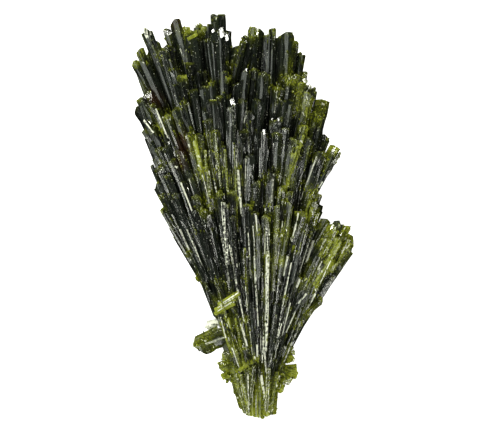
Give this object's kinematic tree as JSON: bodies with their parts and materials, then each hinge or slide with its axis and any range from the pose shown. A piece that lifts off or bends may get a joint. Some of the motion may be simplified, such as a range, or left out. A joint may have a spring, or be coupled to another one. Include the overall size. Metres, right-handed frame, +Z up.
{
  "type": "epidote crystal cluster",
  "caption": "Fan-shaped spray of dark green striated prismatic crystals grown from one narrow stem, lying on its back.",
  "frame": {"origin": "middle of the footprint, on the surface that the cluster lies on", "axes": "+Y along the fan from its stem to its tips, +Z up out of its front, +X to the right of the fan seen from the front"},
  "size_m": [0.0445, 0.0812, 0.0203],
  "materials": {
    "epidote": "very dark green to black, glassy, lengthwise striated, yellow-green where thin"
  },
  "bodies": {
    "root": {"epidote_cluster": "epidote"}
  },
  "joints": []
}
